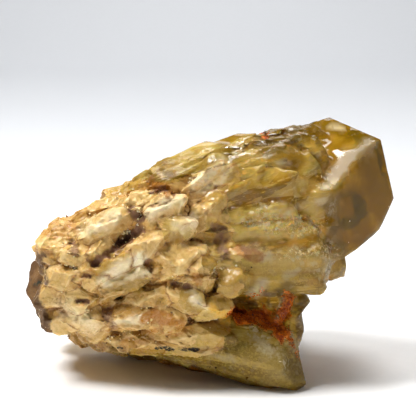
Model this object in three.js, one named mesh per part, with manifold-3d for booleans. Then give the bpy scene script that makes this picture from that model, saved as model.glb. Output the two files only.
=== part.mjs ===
// Citrine cluster: a fan of quartz crystals grown together from a scrap of brown host rock at the left end
// to one large smoky-yellow point at the upper right. Millimetres, +Z up, resting on the floor at z = 0.
//
// Places are given as the cluster is seen from the front: across (to the right), up, and back. The first
// two are read on a plane through the middle of the cluster, from an eye in front of it and a little above
// it, and back is the true distance along +Y. seen() turns them into a point of the part.

import * as THREE from 'three';
import { mergeVertices } from 'three/addons/utils/BufferGeometryUtils.js';
import Module from 'manifold-3d';

const wasm = await Module();
wasm.setup();

// The eye that the places are given from.
const EYE_DISTANCE = 520;
const EYE_ANGLE = THREE.MathUtils.degToRad(12);
const EYE_AIM_HEIGHT = 68;

// Quartz, and how uneven its natural faces are.
const RHOMB_ANGLE = THREE.MathUtils.degToRad(51.8); // between a tip face's normal and the crystal's axis
const PRISM_TURN = 0.12; // radians that a prism face may be off its regular place
const PRISM_LEAN = 0.08;
const NEAREST_PRISM_FACE = 0.84; // share of the crystal's radius
const PRISM_FACE_RANGE = 0.3;
const TIP_TURN = 0.1;
const CHIP_DEPTH = 0.3; // share of the crystal's radius
const CHIP_SKEW = 0.9;

// Broken chunks: how far their flats lie from the middle, as shares of the chunk's half size.
const NEAREST_FLAT = 0.78;
const FLAT_RANGE = 0.22;

const ROCK_GAP = 0.3; // between the host rock and the crystals
const ROCK_BED = 1.4 * ROCK_GAP; // what the bed grows by, so that slanted flats keep the gap too

// What counts as the same place, and as parallel, where faces are cut with each other.
const SAME_POINT = 1e-4;
const SAME_CORNER = 5 * SAME_POINT;
const ON_FACE = 4 * SAME_POINT;
const PARALLEL = 1e-7;

function seen(across, up, back) {
  const sin = Math.sin(EYE_ANGLE);
  const cos = Math.cos(EYE_ANGLE);
  const away = (back - up * sin) / (cos + (up * sin) / EYE_DISTANCE);
  const spread = 1 + away / EYE_DISTANCE;
  return new THREE.Vector3(across * spread, back, EYE_AIM_HEIGHT + up * cos * spread - away * sin);
}

// A repeatable source of random numbers from 0 to 1.
function dice(seed) {
  let state = (seed * 2654435761) >>> 0;
  return () => {
    state = (state + 0x6d2b79f5) >>> 0;
    let t = Math.imul(state ^ (state >>> 15), 1 | state);
    t = (t + Math.imul(t ^ (t >>> 7), 61 | t)) ^ t;
    return ((t ^ (t >>> 14)) >>> 0) / 4294967296;
  };
}

// A flat face: the solid lies where normal . point <= offset.
function face(normal, through) {
  const unit = normal.clone().normalize();
  return { normal: unit, offset: unit.dot(through) };
}

function faceThrough(a, b, c, inside) {
  const normal = new THREE.Vector3().subVectors(b, a).cross(new THREE.Vector3().subVectors(c, a));
  if (normal.dot(new THREE.Vector3().subVectors(inside, a)) > 0) normal.negate();
  return face(normal, a);
}

// The corners where three faces meet inside all the others.
function cornersOf(faces) {
  const corners = [];
  for (let i = 0; i < faces.length; i++) {
    for (let j = i + 1; j < faces.length; j++) {
      const line = new THREE.Vector3().crossVectors(faces[i].normal, faces[j].normal);
      for (let k = j + 1; k < faces.length; k++) {
        const volume = line.dot(faces[k].normal);
        if (Math.abs(volume) < PARALLEL) continue;
        const nearLine = new THREE.Vector3().crossVectors(faces[j].normal, faces[k].normal);
        const farLine = new THREE.Vector3().crossVectors(faces[k].normal, faces[i].normal);
        const at = line.clone().multiplyScalar(faces[k].offset);
        at.addScaledVector(nearLine, faces[i].offset);
        at.addScaledVector(farLine, faces[j].offset);
        at.divideScalar(volume);
        if (faces.some((f) => f.normal.dot(at) > f.offset + SAME_POINT)) continue;
        if (corners.some((c) => c.distanceTo(at) < SAME_CORNER)) continue;
        corners.push(at);
      }
    }
  }
  return corners;
}

// The solid bounded by flat faces, each face a fan of triangles around its first corner.
function bounded(faces) {
  const corners = cornersOf(faces);
  const index = [];
  for (const { normal, offset } of faces) {
    const on = corners.map((_, i) => i).filter((i) => Math.abs(normal.dot(corners[i]) - offset) < ON_FACE);
    if (on.length < 3) continue;
    const middle = on.reduce((sum, i) => sum.add(corners[i]), new THREE.Vector3()).divideScalar(on.length);
    const u = new THREE.Vector3().subVectors(corners[on[0]], middle).normalize();
    const v = new THREE.Vector3().crossVectors(normal, u);
    const turn = (i) => {
      const arm = new THREE.Vector3().subVectors(corners[i], middle);
      return Math.atan2(arm.dot(v), arm.dot(u));
    };
    on.sort((a, b) => turn(a) - turn(b));
    for (let n = 1; n + 1 < on.length; n++) index.push(on[0], on[n], on[n + 1]);
  }
  const geometry = new THREE.BufferGeometry().setFromPoints(corners);
  geometry.setIndex(index);
  return geometry;
}

function solid(geometry) {
  const vertProperties = new Float32Array(geometry.attributes.position.array);
  const triVerts = new Uint32Array(geometry.index.array);
  return new wasm.Manifold(new wasm.Mesh({ numProp: 3, vertProperties, triVerts }));
}

// Breaks small flats off the corners of a solid given by its faces.
function chipped(faces, chips, depth, random) {
  const all = [...faces];
  for (let n = 0; n < chips; n++) {
    const corners = cornersOf(all);
    const middle = corners.reduce((sum, c) => sum.add(c), new THREE.Vector3()).divideScalar(corners.length);
    const corner = corners[Math.floor(random() * corners.length)];
    const out = new THREE.Vector3().subVectors(corner, middle).normalize();
    const skew = new THREE.Vector3(random() - 0.5, random() - 0.5, random() - 0.5);
    out.addScaledVector(skew, CHIP_SKEW).normalize();
    all.push(face(out, corner.clone().addScaledVector(out, -depth * (0.4 + random()))));
  }
  return all;
}

// One quartz crystal, from its tail to its tip: six uneven prism faces and six uneven tip faces.
function quartz({ from, to, width, thin = 1, roll = 0, seed = 1, chips = 1, blunt = 0.5, cut }) {
  const random = dice(seed);
  const tail = seen(...from);
  const tip = seen(...to);
  const axis = new THREE.Vector3().subVectors(tip, tail);
  const length = axis.length();
  const radius = width / 2;
  const prism = [];
  const point = [];
  const sharpest = cut ?? Math.floor(random() * 6);
  for (let side = 0; side < 6; side++) {
    const angle = ((side + 0.5) * Math.PI) / 3 + (random() - 0.5) * PRISM_TURN;
    const lean = (random() - 0.35) * PRISM_LEAN;
    const out = new THREE.Vector3(Math.cos(angle), Math.sin(angle), lean);
    const reach = radius * (NEAREST_PRISM_FACE + PRISM_FACE_RANGE * random());
    prism.push(face(out, new THREE.Vector3(out.x * reach, out.y * reach, length * 0.6)));
    const above = side === sharpest ? 0 : blunt * radius * (0.25 + 1.1 * random());
    const up = RHOMB_ANGLE + (random() - 0.5) * TIP_TURN;
    const slope = new THREE.Vector3().setFromSphericalCoords(1, up, 0);
    slope.set(slope.z * Math.cos(angle), slope.z * Math.sin(angle), slope.y);
    point.push(face(slope, new THREE.Vector3(0, 0, length + above)));
  }
  const tailLean = new THREE.Vector3(random() - 0.5, random() - 0.5, -1);
  const faces = [...prism, ...point, face(tailLean, new THREE.Vector3())];
  const geometry = bounded(chipped(faces, chips, radius * CHIP_DEPTH, random));
  const stand = new THREE.Object3D();
  stand.position.copy(tail);
  stand.quaternion.setFromUnitVectors(new THREE.Vector3(0, 0, 1), axis.normalize());
  stand.rotateZ(THREE.MathUtils.degToRad(roll));
  stand.scale.set(1, thin, 1);
  stand.updateMatrix();
  return solid(geometry.applyMatrix4(stand.matrix));
}

// A broken chunk about a unit ball, bounded by flats all round.
function chunk(count, seed) {
  const random = dice(seed);
  const golden = Math.PI * (3 - Math.sqrt(5));
  const faces = [];
  for (let n = 0; n < count; n++) {
    const z = 1 - (2 * n + 1) / count;
    const ring = Math.sqrt(1 - z * z);
    const angle = n * golden + random() * 0.7;
    const out = new THREE.Vector3(ring * Math.cos(angle), ring * Math.sin(angle), z);
    faces.push(face(out, out.clone().multiplyScalar(NEAREST_FLAT + FLAT_RANGE * random())));
  }
  return bounded(faces);
}

// A lump that is given by its middle and its three sizes.
function lump({ at, size, faces = 16, seed = 1, grow = 0 }) {
  const stand = new THREE.Object3D();
  stand.position.copy(seen(...at));
  stand.scale.set(size[0] / 2 + grow, size[1] / 2 + grow, size[2] / 2 + grow);
  stand.updateMatrix();
  return solid(chunk(faces, seed).applyMatrix4(stand.matrix));
}

// A lump that is drawn out from one place to another.
function shard({ from, to, width, thin = 1, roll = 0, faces = 18, seed = 1 }) {
  const tail = seen(...from);
  const tip = seen(...to);
  const axis = new THREE.Vector3().subVectors(tip, tail);
  const stand = new THREE.Object3D();
  stand.position.addVectors(tail, tip).divideScalar(2);
  stand.scale.set(width / 2, (width * thin) / 2, axis.length() / 2);
  stand.quaternion.setFromUnitVectors(new THREE.Vector3(0, 0, 1), axis.normalize());
  stand.rotateZ(THREE.MathUtils.degToRad(roll));
  stand.updateMatrix();
  return solid(chunk(faces, seed).applyMatrix4(stand.matrix));
}

// The large point at the upper right, bounded by the flats that show and by the ones behind.
function mainPoint() {
  const apex = seen(70.9, 27.9, -16.7);
  const nearCorner = seen(52.5, 7.8, -28);
  const lowCorner = seen(56.2, -20.1, -26.9);
  const bandTop = seen(67.2, 27.3, -18.9);
  const bandLeft = seen(55.8, 25, -16.6);
  const crown = seen(49.6, 37.3, 4);
  const crownLeft = seen(15.2, 27.9, 2);
  const right = seen(76.3, 4.1, -14.5);
  const lowRight = seen(70.5, -9, -18.3);
  const low = seen(60.7, -17.2, -24.2);
  const middle = seen(30, 5, 0);
  return solid(bounded([
    faceThrough(nearCorner, apex, lowCorner, middle),
    faceThrough(nearCorner, bandTop, bandLeft, middle),
    faceThrough(bandTop, bandLeft, crown, middle),
    faceThrough(apex, crown, seen(56, 29, 24), middle),
    faceThrough(apex, right, seen(66, 8, 16), middle),
    faceThrough(right, lowRight, seen(64, -8, 14), middle),
    faceThrough(lowRight, low, seen(50, -18, 10), middle),
    faceThrough(low, lowCorner, seen(36, -26, 6), middle),
    faceThrough(nearCorner, lowCorner, seen(10, -8, -22), middle),
    faceThrough(crown, crownLeft, bandLeft, middle),
    faceThrough(crown, crownLeft, seen(20, 20, 26), middle),
    faceThrough(seen(30, 20, 26), seen(50, -4, 24), seen(0, -10, 26), middle),
    faceThrough(lowCorner, seen(0, -38, -16), seen(10, -40, 10), middle),
    faceThrough(seen(30, -30, 14), seen(50, -12, 24), seen(0, -40, 18), middle),
    faceThrough(seen(-34, 20, 0), seen(-34, -40, 0), seen(-36, 0, 30), middle),
  ]));
}

// The big crystals inside, which the others grew on.
const TRUNKS = [
  { from: [-61, -20, -4], to: [22, 16, -3], width: 24, thin: 1.2 },
  { from: [-60, -30, -4], to: [26, -17, -8], width: 34, thin: 1.1 },
  { from: [-60, -37, -2], to: [8, -50, -10], width: 25, thin: 1.2 },
  { from: [-58, -22, 12], to: [30, 14, 18], width: 28, roll: 20 },
  { from: [-58, -32, 14], to: [24, -40, 18], width: 34, roll: 10 },
];

// The slabs that sheathe the big point's front, each ending in a ragged step.
const SHEATH = [
  { from: [12, 20, -6], to: [50, 28.5, -9], width: 15, thin: 0.9, roll: 10, chips: 2 },
  { from: [-8, 11.2, -14.2], to: [56, 24, -18], width: 19, thin: 0.36, roll: 6, chips: 3 },
  { from: [-8, 6.8, -18], to: [50, 16, -22], width: 22, thin: 0.3, roll: -4, chips: 4 },
  { from: [-8, 0.9, -20.3], to: [46, 8, -26], width: 20, thin: 0.34, roll: 3, chips: 4 },
  { from: [-6, -7.3, -22.2], to: [46, -3, -28], width: 18, thin: 0.34, roll: -6, chips: 4 },
  { from: [-4, -13.9, -23.7], to: [45, -11, -28], width: 15, thin: 0.45, roll: 5, chips: 3 },
  { from: [16, 16, -16], to: [36, 25, -19], width: 10, thin: 0.4, roll: 20, chips: 2 },
  { from: [20, -4, -26], to: [36, 1, -29], width: 8, thin: 0.5, roll: 25, chips: 2 },
];

// The long crystals along the top edge.
const RIDGE = [
  { from: [-30, 2, 0], to: [15, 22, 4], width: 14, thin: 0.9, roll: 5 },
  { from: [-10, 11, -10], to: [21, 26, -6], width: 12, thin: 0.7, roll: 10, chips: 2 },
  { from: [-22, 4, -18], to: [9, 17.5, -18], width: 12, thin: 0.5, roll: -8, chips: 2 },
  { from: [-50, -14, -6], to: [-16, 15, -6], width: 13, thin: 0.9, roll: 15 },
  { from: [-36, -5, -14], to: [-7, 16, -14], width: 14, thin: 0.6, roll: 12, chips: 2 },
  { from: [2, 14, 4], to: [36, 28.5, 4], width: 13, thin: 1.1, roll: 30 },
];

// The two big lobes at the lower right, and the crystals behind them.
const LOBES = [
  { from: [-12, -20, -20], to: [58, -22.5, -25], width: 22, thin: 0.9, blunt: 1, chips: 4, roll: 12 },
  { from: [0, -26, -20], to: [52, -27, -25], width: 16, blunt: 1, chips: 5, roll: 20, cut: 0 },
  { from: [-46, -42, -6], to: [41, -65, -27], width: 24, thin: 0.95, blunt: 1.2, chips: 5, roll: 10, cut: 3 },
  { from: [-20, -52, -12], to: [39, -68, -25], width: 16, blunt: 1, chips: 4, roll: 35, cut: 3 },
  { from: [20, -22, 0], to: [60, -24, -6], width: 12, roll: 30 },
  { from: [8, -34, 12], to: [44, -39, 6], width: 14, roll: 20 },
  { from: [31, -26, 14], to: [36, -59, 4], width: 10, roll: 10 },
  { from: [16, -22, -20], to: [34, -35, -25], width: 12, thin: 0.8, chips: 2 },
];

// The clearer crystals that stand out of the cream mass.
const CLEAR = [
  { from: [-52, -31, -24], to: [-26, -20, -30], width: 12, thin: 0.7, chips: 3, blunt: 0.8, roll: 20 },
  { from: [-44, -34, -27], to: [-22, -25, -32], width: 9, thin: 0.6, chips: 2 },
  { from: [-22, -14, -25], to: [-4, -5, -30], width: 12, thin: 0.8, chips: 3, roll: 15 },
  { from: [-26, -6, -23], to: [-12, 5, -28], width: 9, thin: 0.7, chips: 2, roll: 5 },
  { from: [-16, -26, -28], to: [3, -24, -33], width: 11, chips: 3, roll: 12 },
  { from: [-16, -33, -28], to: [0, -41, -34], width: 11, thin: 0.8, chips: 3 },
  { from: [-6, -41, -27], to: [11, -41, -32], width: 12, thin: 0.8, chips: 3, roll: 10 },
  { from: [4, -30, -28], to: [18, -31, -33], width: 10, chips: 3, roll: 10 },
  { from: [18, -30, -26], to: [22, -36, -34], width: 6, chips: 2, roll: 10 },
];

// The cream mass: blades and blocks at the left end, then the middle.
const CREAM = [
  { from: [-60, -17.5, -19], to: [-26, 0, -26], width: 11.5, thin: 0.9 },
  { from: [-67, -14, -6], to: [-52, -13, -18], width: 15 },
  { from: [-72, -17.5, -8], to: [-60, -18.5, -20], width: 7, faces: 14 },
  { from: [-60, -9, -4], to: [-28, 4, -14], width: 11 },
  { from: [-69, -24, -10], to: [-44, -27, -26], width: 14 },
  { from: [-66, -33, -8], to: [-44, -33, -25], width: 14 },
  { from: [-67, -41, -2], to: [-50, -41, -20], width: 15 },
  { from: [-64, -41, -12], to: [-38, -45, -27], width: 17, faces: 22 },
  { from: [-46, -46, -24], to: [-20, -44, -32], width: 12 },
  { from: [-30, -43, -26], to: [-8, -47, -32], width: 13 },
  { from: [-36, -38, -25], to: [-6, -35, -31], width: 11 },
  { from: [-47, -48, -12], to: [-18, -57, -24], width: 14 },
  { from: [-42, -10, -18], to: [-20, 8, -24], width: 13, thin: 0.7 },
  { from: [-32, -14, -22], to: [-8, 4, -27], width: 15, thin: 0.8 },
  { from: [-40, -24, -24], to: [-14, -10, -30], width: 14, thin: 0.9 },
  { from: [-28, -27, -26], to: [-1, -17, -32], width: 15, thin: 0.9 },
  { from: [-20, -33, -26], to: [4, -28, -31], width: 13 },
  { from: [-12, -14, -22], to: [4, 2, -26], width: 12, thin: 0.7 },
  { from: [-26, -48, -22], to: [12, -54, -27], width: 15 },
  { from: [-10, 5, -22], to: [9.5, 17.5, -20.5], width: 9.5, thin: 0.5, roll: 40, faces: 14 },
  { from: [-6, -1, -21], to: [8.5, 5, -26.5], width: 9, thin: 0.8 },
];

// The lumps behind the crevices: the wall of the rusty hollow, the belly that rests at the left, the end, and
// the root of the bright blade below the ridge.
const WALLS = [
  { at: [19, -38, 2], size: [36, 26, 30], seed: 31, faces: 18 },
  { at: [-36, -48, 6], size: [44, 34, 26], seed: 32, faces: 22 },
  { at: [-60, -32, -6], size: [20, 34, 34], seed: 33, faces: 20 },
  { at: [-60, -26, 14], size: [22, 34, 34], seed: 34, faces: 20 },
  { at: [4, 8, -10], size: [24, 22, 22], seed: 35, faces: 18 },
];

// The long crystals of the lower edge.
const EDGE = [
  { from: [-40, -48, -12], to: [10, -60, -27], width: 15, thin: 0.8, chips: 3, roll: 10 },
  { from: [-20, -53, 2], to: [22, -65, -12], width: 15, thin: 0.9, chips: 2, roll: 20 },
];

// The crystals of the back and the top, which the front hides.
const BACK = [
  { from: [-40, -4, 14], to: [30, 21, 32], width: 20, roll: 10 },
  { from: [-44, -12, 18], to: [20, 4, 41], width: 22, thin: 0.9, roll: 25 },
  { from: [-46, -24, 20], to: [36, -12, 38], width: 20, roll: 5 },
  { from: [-46, -32, 20], to: [14, -33, 42], width: 19, roll: 15 },
  { from: [-46, -38, 14], to: [24, -52, 34], width: 22, thin: 0.9, roll: 20 },
  { from: [-20, 4, 10], to: [44, 28, 20], width: 17, roll: 0 },
  { from: [-36, -8, 24], to: [2, 12, 40], width: 12, roll: 30 },
  { from: [-50, -22, 24], to: [-8, -8, 42], width: 13, roll: 10 },
  { from: [-52, -32, 24], to: [-14, -24, 43], width: 12, roll: 24 },
  { from: [-44, -40, 22], to: [-4, -44, 38], width: 14, roll: 5 },
  { from: [0, -22, 28], to: [46, -27, 28], width: 15, roll: 18 },
  { from: [8, -4, 24], to: [54, 3, 26], width: 14, roll: 8 },
  { from: [-58, -18, 10], to: [-28, -3, 26], width: 13, roll: 16 },
  { from: [-64, -26, 14], to: [-34, -14, 34], width: 12, roll: 3 },
  { from: [-62, -37, 12], to: [-32, -36, 32], width: 13, roll: 12 },
  { from: [-24, 10, 4], to: [8, 25, 14], width: 12, roll: 22 },
  { from: [-42, -6, 4], to: [-14, 12, 12], width: 13, roll: 11 },
  { from: [-12, 14, 12], to: [22, 28, 22], width: 12, roll: 4 },
  { from: [0, -44, 14], to: [36, -55, 18], width: 13, roll: 27 },
  { from: [-40, -50, 4], to: [-8, -60, 14], width: 14, roll: 9 },
];

function each(make, list, firstSeed) {
  return list.map((entry, n) => make({ seed: firstSeed + n, ...entry }));
}

// The broken, sugary mass between them: stout chunks in rows that fan out from beyond the left end.
const FAN_ROOT = [-130, -33];
const FAN_LOW = -12;
const FAN_HIGH = 18;

function rubble({ rows, steps, near, far, side, flat, deep, width, seed }) {
  const random = dice(seed);
  const list = [];
  for (let row = 0; row < rows; row++) {
    const share = (row + 0.5) / rows;
    const bulge = 1 - (2 * share - 1) ** 2;
    for (let step = 0; step < steps; step++) {
      const turn = FAN_LOW + (FAN_HIGH - FAN_LOW) * (share + (0.6 * (random() - 0.5)) / rows);
      const angle = THREE.MathUtils.degToRad(turn);
      const reach = near + ((far - near) * (step + 0.5 * (row % 2) + 0.4 * random())) / steps;
      const back = side * (flat + (deep - flat) * bulge) + 3 * (random() - 0.5);
      const half = 7 + 4 * random();
      const start = reach - half;
      const end = reach + half;
      const across = Math.cos(angle);
      const up = Math.sin(angle);
      list.push({
        from: [FAN_ROOT[0] + start * across, FAN_ROOT[1] + start * up, back],
        to: [FAN_ROOT[0] + end * across, FAN_ROOT[1] + end * up, back + 3 * side * random()],
        width: width * (0.75 + 0.5 * random()),
        roll: 60 * random(),
        faces: 13,
      });
    }
  }
  return each(shard, list, seed);
}

// What lies on the far side of a flat, as a block to cut away.
function beyond(normal, through, reach = 300) {
  const block = new THREE.BoxGeometry(reach, reach, reach).translate(0, 0, reach / 2);
  block.deleteAttribute('normal');
  block.deleteAttribute('uv');
  const stand = new THREE.Object3D();
  stand.position.copy(through);
  stand.quaternion.setFromUnitVectors(new THREE.Vector3(0, 0, 1), normal.clone().normalize());
  stand.updateMatrix();
  return solid(mergeVertices(block.applyMatrix4(stand.matrix)));
}

// The scrap of host rock that the crystals grew from, and its bed in them with the gap all round.
const ROCK = [
  { at: [-64.5, -32, 0], size: [18, 32, 33], seed: 41, faces: 22 },
  { at: [-63, -42, -4], size: [16, 24, 18], seed: 42, faces: 18 },
  { at: [-63.5, -27, 8], size: [16, 26, 24], seed: 43, faces: 18 },
];

function hostRock(grow = 0) {
  return wasm.Manifold.union(ROCK.map((entry) => lump({ grow, ...entry })));
}

// The outer skin alone, so that the small pockets sealed in between the crystals are solid.
function filled(manifold) {
  return manifold.decompose().reduce((most, piece) => (piece.volume() > most.volume() ? piece : most));
}

const DOWN = new THREE.Vector3(0, 0, -1);
const FLOOR = new THREE.Vector3(0, 0, 0);

function crystals() {
  const parts = [
    mainPoint(),
    ...each(quartz, TRUNKS, 50),
    ...each(quartz, SHEATH, 100),
    ...each(quartz, RIDGE, 200),
    ...each(quartz, LOBES, 300),
    ...each(quartz, CLEAR, 400),
    ...each(shard, CREAM, 500),
    ...each(quartz, EDGE, 600),
    ...each(quartz, BACK, 700),
    ...WALLS.map(lump),
    ...rubble({ rows: 5, steps: 5, near: 69, far: 134, side: -1, flat: 12, deep: 23, width: 15, seed: 800 }),
    ...rubble({ rows: 5, steps: 4, near: 70, far: 114, side: 1, flat: 10, deep: 26, width: 15, seed: 900 }),
  ];
  const joined = wasm.Manifold.union(parts).subtract(beyond(DOWN, FLOOR)).subtract(hostRock(ROCK_BED));
  return filled(joined);
}

function asMesh(manifold, name, material) {
  const { vertProperties, triVerts } = manifold.getMesh();
  const geometry = new THREE.BufferGeometry();
  geometry.setAttribute('position', new THREE.BufferAttribute(new Float32Array(vertProperties), 3));
  geometry.setIndex(new THREE.BufferAttribute(new Uint32Array(triVerts), 1));
  const mesh = new THREE.Mesh(geometry, material);
  mesh.name = name;
  return mesh;
}

const quartzMaterial = new THREE.MeshStandardMaterial({ color: 0xb59a5c, roughness: 0.35, metalness: 0 });

const rockMaterial = new THREE.MeshStandardMaterial({ color: 0x5c4430, roughness: 0.85, metalness: 0 });

const cluster = new THREE.Group();
cluster.add(asMesh(crystals(), 'citrine_crystals', quartzMaterial));
cluster.add(asMesh(hostRock(), 'host_rock', rockMaterial));

// The origin is on the floor, under the middle of the cluster's box.
const box = new THREE.Box3().setFromObject(cluster);
const middle = box.getCenter(new THREE.Vector3());
cluster.position.set(-middle.x, -middle.y, -box.min.z);

export default cluster;
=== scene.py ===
import math

import bmesh
import bpy
import numpy as np
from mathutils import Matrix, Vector
from mathutils.bvhtree import BVHTree


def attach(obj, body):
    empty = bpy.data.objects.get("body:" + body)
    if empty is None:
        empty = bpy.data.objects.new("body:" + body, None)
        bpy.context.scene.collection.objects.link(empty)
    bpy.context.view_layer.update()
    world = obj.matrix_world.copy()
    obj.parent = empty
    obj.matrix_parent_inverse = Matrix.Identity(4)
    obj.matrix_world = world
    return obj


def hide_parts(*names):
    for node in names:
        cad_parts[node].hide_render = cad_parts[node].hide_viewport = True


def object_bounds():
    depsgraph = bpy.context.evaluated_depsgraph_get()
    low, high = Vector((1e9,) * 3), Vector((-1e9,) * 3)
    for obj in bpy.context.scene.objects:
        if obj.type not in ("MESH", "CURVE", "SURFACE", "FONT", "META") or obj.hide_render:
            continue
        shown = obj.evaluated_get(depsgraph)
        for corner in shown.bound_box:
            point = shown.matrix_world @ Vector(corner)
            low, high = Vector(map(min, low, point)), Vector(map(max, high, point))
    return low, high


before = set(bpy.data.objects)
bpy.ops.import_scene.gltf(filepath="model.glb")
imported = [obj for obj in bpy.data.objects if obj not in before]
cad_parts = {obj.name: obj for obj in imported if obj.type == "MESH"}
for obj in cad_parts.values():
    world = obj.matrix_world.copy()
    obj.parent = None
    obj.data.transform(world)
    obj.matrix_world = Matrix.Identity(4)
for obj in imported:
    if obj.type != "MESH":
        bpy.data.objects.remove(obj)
cad_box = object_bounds()

MM = 0.001
QUARTZ_IOR = 1.544
QUARTZ_SHINE = 0.35
CLEAR_SHINE = 0.1

# The eye in front of the cluster, from which places are given as across, up and back, in millimetres.
EYE_DISTANCE = 0.520
EYE_ANGLE = math.radians(12)
EYE_AIM = Vector((0.000445, -0.005615, 0.068))
EYE_PLANE_WIDTH = 0.17056  # what the picture spans at the eye's distance
LOOK = Vector((0, math.cos(EYE_ANGLE), -math.sin(EYE_ANGLE)))
EYE_UP = Vector((0, math.sin(EYE_ANGLE), math.cos(EYE_ANGLE)))
EYE = EYE_AIM - LOOK * EYE_DISTANCE

# The crystals fan out from a place beyond the left end; they are cream near it and clear far from it.
FAN_ROOT = (-130, -33)
CLEAR_FROM = {
    -16: 108, -14: 113, -12.5: 125, -10: 137, -5: 139, 0: 143, 12: 143, 16: 144, 17.6: 150, 20: 150,
    21: 128, 22.5: 112, 26: 104,
}  # degrees above level: millimetres from the root, on the front
CLEAR_FROM_BEHIND = 112
CLOUDY_BAND = 12
FAN_MIDDLE = 0.140

# How finely the skins are cut: the longest edge, in metres.
CREAM_EDGE = 1.45 * MM
SHEATH_EDGE = 1.9 * MM
CLEAR_EDGE = 3.6 * MM
ROCK_EDGE = 0.9 * MM
VALLEY_PASSES = 16
VALLEY_FILL = 1.5 * MM
BORDER_FILL = 4.5 * MM
HOLLOW_DEPTH = 1.4 * MM

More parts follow.
